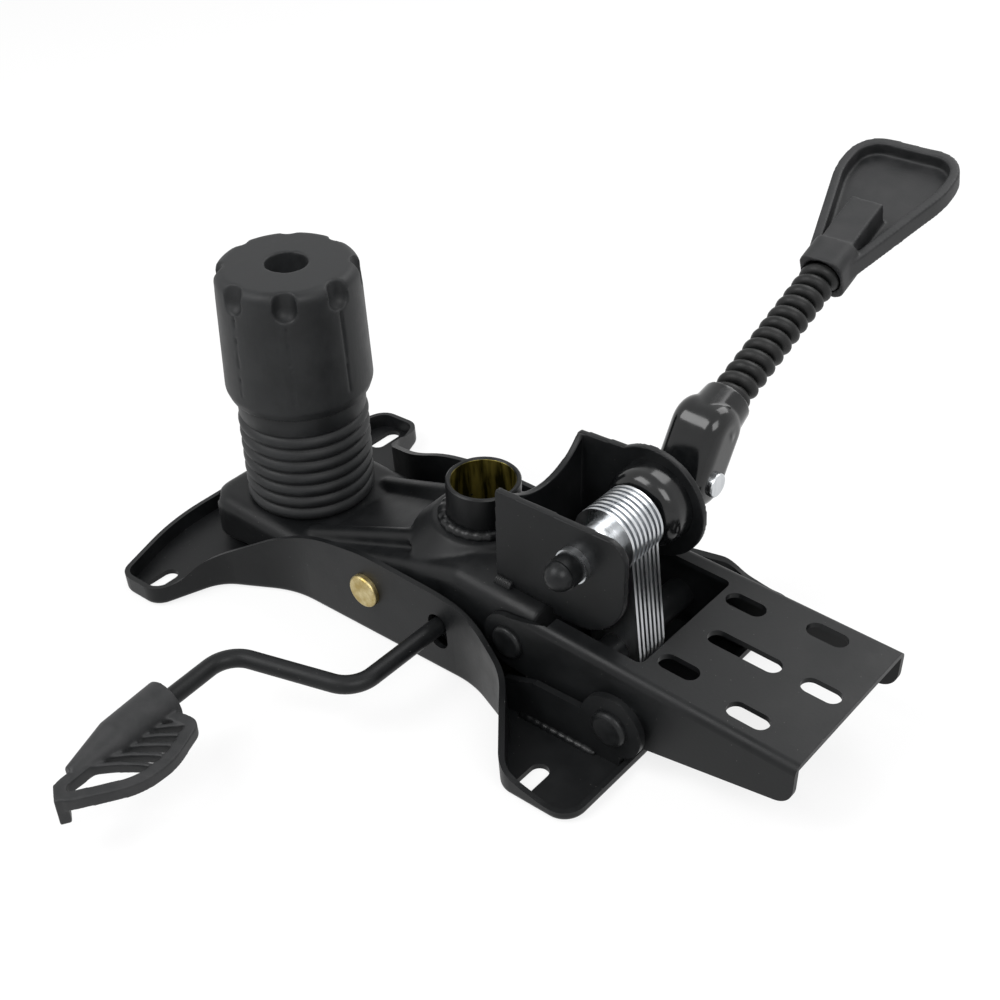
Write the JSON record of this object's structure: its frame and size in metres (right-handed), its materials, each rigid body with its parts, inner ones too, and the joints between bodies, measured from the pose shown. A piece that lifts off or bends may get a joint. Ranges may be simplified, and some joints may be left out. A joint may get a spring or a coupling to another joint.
{
  "type": "office chair tilt mechanism",
  "caption": "Tilt mechanism for an office chair: waisted seat plate, sprung tilt box with gas spring tube, knob, plate lock and levers, and a slotted back channel.",
  "frame": {"origin": "middle of the four seat slots, on the seat face", "axes": "+X from the front, where the tension knob is, to the back channel; +Y towards the lock lever; +Z away from the seat"},
  "size_m": [0.3541, 0.4451, 0.1612],
  "materials": {
    "black_paint": "satin black powder coat",
    "zinc": "bright zinc plate",
    "yellow_zinc": "yellow passivated zinc",
    "black_plastic": "fine moulded texture",
    "glossy_plastic": "glossy moulded black",
    "spring_steel": "oiled spring steel",
    "black_steel": "black oxide"
  },
  "bodies": {
    "seat": {"seat_plate": "black_paint", "ear_near": "black_paint", "ear_far": "black_paint", "ear_welds": "black_paint", "ear_rivets": "black_steel", "ear_washers": "zinc", "tilt_axle": "yellow_zinc", "bolt_anchor": "black_paint"},
    "box": {"tilt_box": "black_paint", "axle_bushes": "glossy_plastic", "gas_tube": "yellow_zinc", "tube_weld": "black_paint", "lock_bracket": "black_paint", "bracket_welds": "black_paint", "lock_shaft": "zinc", "dome_nut": "black_steel", "nut_washer": "zinc", "near_spacer": "zinc", "far_spacer": "glossy_plastic", "fixed_discs": "zinc", "cam_bush": "glossy_plastic", "lever_bush": "glossy_plastic", "ribbed_sleeve": "black_plastic", "spring_cup": "zinc", "tension_spring": "spring_steel"},
    "channel": {"back_channel": "black_paint", "link_rivets": "black_steel", "strip_pin": "black_paint", "strip_spacers": "black_paint", "strip_washers": "zinc"},
    "strips": {"lock_strips": "zinc"},
    "bolt": {"tension_bolt": "zinc"},
    "cap": {"spring_cap": "zinc"},
    "knob": {"knob": "black_plastic", "knob_nut": "zinc"},
    "gas_lever": {"gas_rod": "black_paint", "valve_tongue": "black_paint", "gas_grip": "black_plastic"},
    "lock_lever": {"lever_socket": "glossy_plastic", "cam_pin": "zinc", "lever_coil": "black_plastic", "lock_paddle": "black_plastic"}
  },
  "joints": [
    {"name": "tilt", "type": "hinge", "parent": "seat", "child": "box", "pos_m": [-0.0033, 0, 0.0256], "axis": [0, 1, 0], "range_deg": [0, 8], "stiffness_Nm_per_rad": 20, "springref_deg": -5.73, "deforming": ["tension_spring"]},
    {"name": "channel_pivot", "type": "hinge", "parent": "seat", "child": "channel", "pos_m": [0.134, 0, 0.0215], "axis": [0, 1, 0], "range_deg": [-11.6, 0]},
    {"name": "strip_pivot", "type": "hinge", "parent": "channel", "child": "strips", "pos_m": [0.1086, 0, 0.0236], "axis": [0, 1, 0], "range_deg": [0, 18.8]},
    {"name": "bolt_slide", "type": "slide", "parent": "box", "child": "bolt", "axis": [0.0698, 0, 0.9976], "range_m": [-0.012, 0], "deforming": ["tension_spring"]},
    {"name": "cap_slide", "type": "slide", "parent": "bolt", "child": "cap", "axis": [0.0698, 0, 0.9976], "range_m": [-0.009, 0], "deforming": ["tension_spring"]},
    {"name": "knob_turn", "type": "hinge", "parent": "cap", "child": "knob", "pos_m": [-0.08052, 0, 0.08294], "axis": [0.0698, 0, 0.9976], "range_deg": [-1081, 0]},
    {"name": "gas_lever_pivot", "type": "hinge", "parent": "box", "child": "gas_lever", "pos_m": [0.04006, -0.0373, 0.02539], "axis": [0.9976, 0, -0.0698], "range_deg": [0, 4.5]},
    {"name": "lock_lever_pivot", "type": "hinge", "parent": "box", "child": "lock_lever", "pos_m": [0.10538, 0.049, 0.07796], "axis": [0.9976, 0, -0.0698], "range_deg": [-35, 0]}
  ],
  "couplings": [
    {"joint": "channel_pivot", "follows": "tilt", "ratio": -1.4393},
    {"joint": "strip_pivot", "follows": "tilt", "ratio": 2.3391},
    {"joint": "bolt_slide", "follows": "tilt", "m_per_rad": -0.085197},
    {"joint": "knob_turn", "follows": "cap_slide", "rad_per_m": 2094.4}
  ]
}
